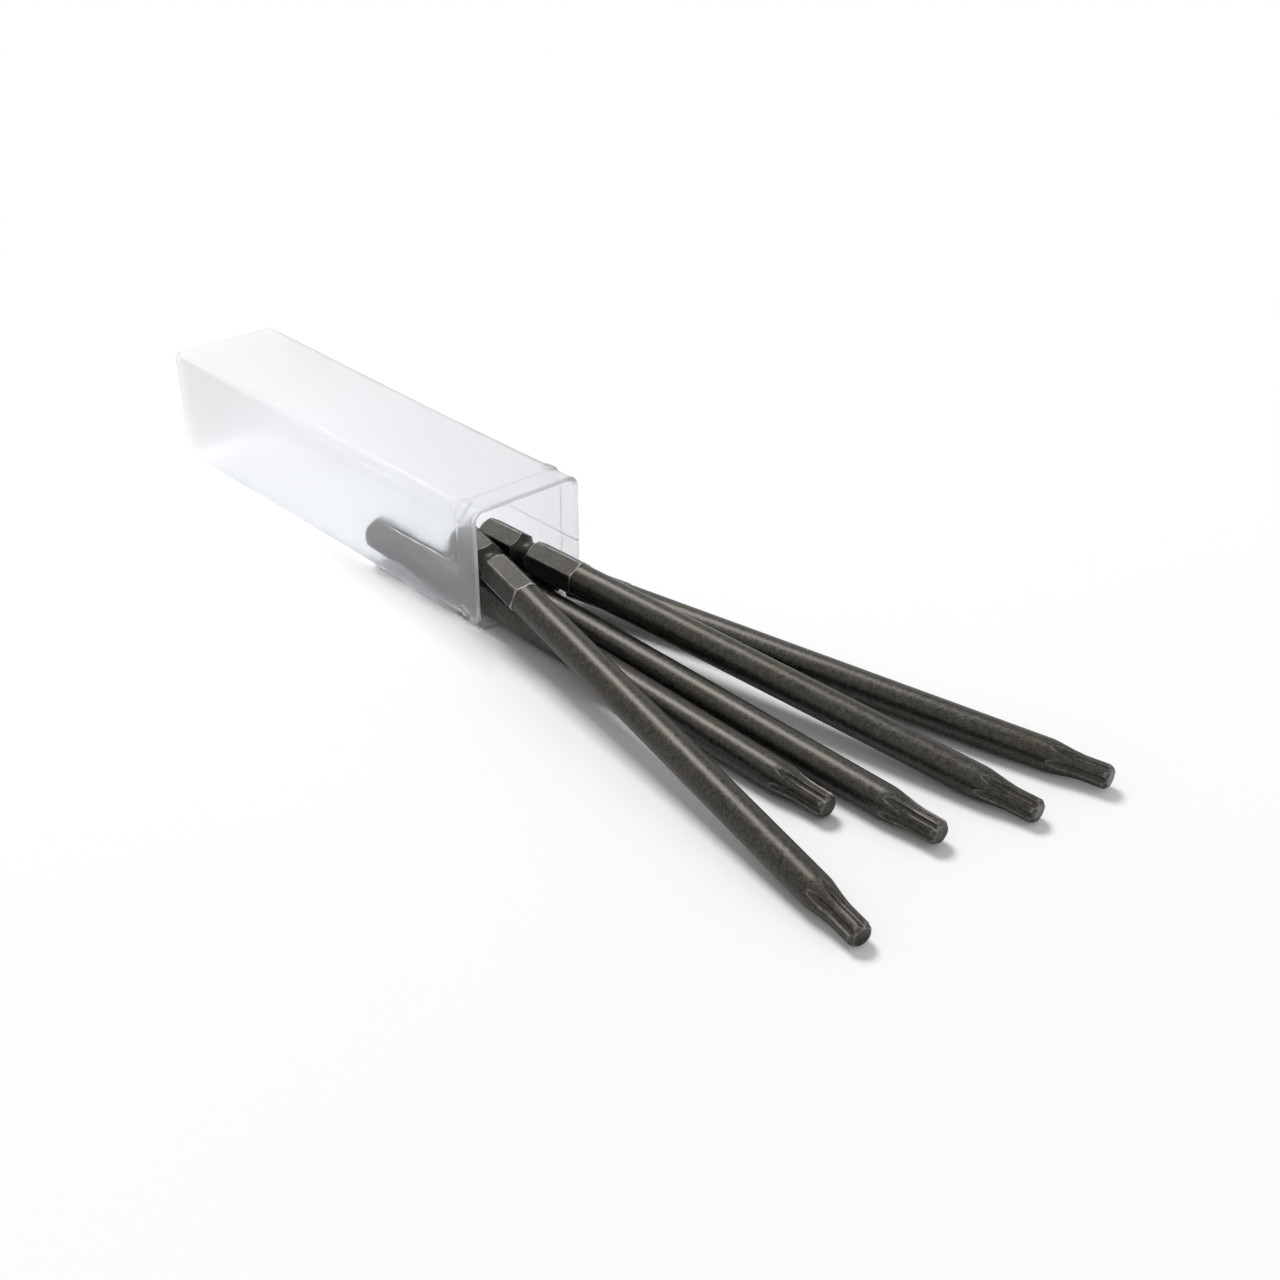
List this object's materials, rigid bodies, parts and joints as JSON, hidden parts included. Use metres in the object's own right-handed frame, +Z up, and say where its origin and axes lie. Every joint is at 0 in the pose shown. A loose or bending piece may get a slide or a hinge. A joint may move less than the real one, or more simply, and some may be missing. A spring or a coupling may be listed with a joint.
{
  "type": "long screwdriver bit set",
  "caption": "Clear square plastic case, open at one end, with long six-lobe power bits on hexagonal shanks fanned out of its mouth.",
  "frame": {"origin": "middle of the case's underside, on the table", "axes": "+X from the case's closed end towards its mouth and the tips, +Z up from the table"},
  "size_m": [0.2208, 0.0636, 0.0258],
  "materials": {
    "clear_plastic": "clear, slightly frosted",
    "gunmetal_steel": "satin grey-brown phosphate"
  },
  "bodies": {
    "case": {"storage_case": "clear_plastic"},
    "bit_left": {"bit_left": "gunmetal_steel"},
    "bit_middle": {"bit_middle": "gunmetal_steel"},
    "bit_right": {"bit_right": "gunmetal_steel"},
    "bit_top_left": {"bit_top_left": "gunmetal_steel"},
    "bit_top_right": {"bit_top_right": "gunmetal_steel"}
  },
  "joints": [
    {"name": "bit_left_slide", "type": "slide", "parent": "case", "child": "bit_left", "axis": [0.9996, 0.0087, -0.0281], "range_m": [0, 0.051]},
    {"name": "bit_middle_slide", "type": "slide", "parent": "case", "child": "bit_middle", "axis": [0.9998, 0.014, -0.0174], "range_m": [0, 0.034]},
    {"name": "bit_right_slide", "type": "slide", "parent": "case", "child": "bit_right", "axis": [0.9753, 0.2198, -0.0202], "range_m": [0, 0.022]},
    {"name": "bit_top_left_slide", "type": "slide", "parent": "case", "child": "bit_top_left", "axis": [0.9854, -0.1702, 0], "range_m": [0, 0.025]},
    {"name": "bit_top_right_slide", "type": "slide", "parent": "case", "child": "bit_top_right", "axis": [0.9912, 0.1323, 0], "range_m": [0, 0.026]}
  ]
}
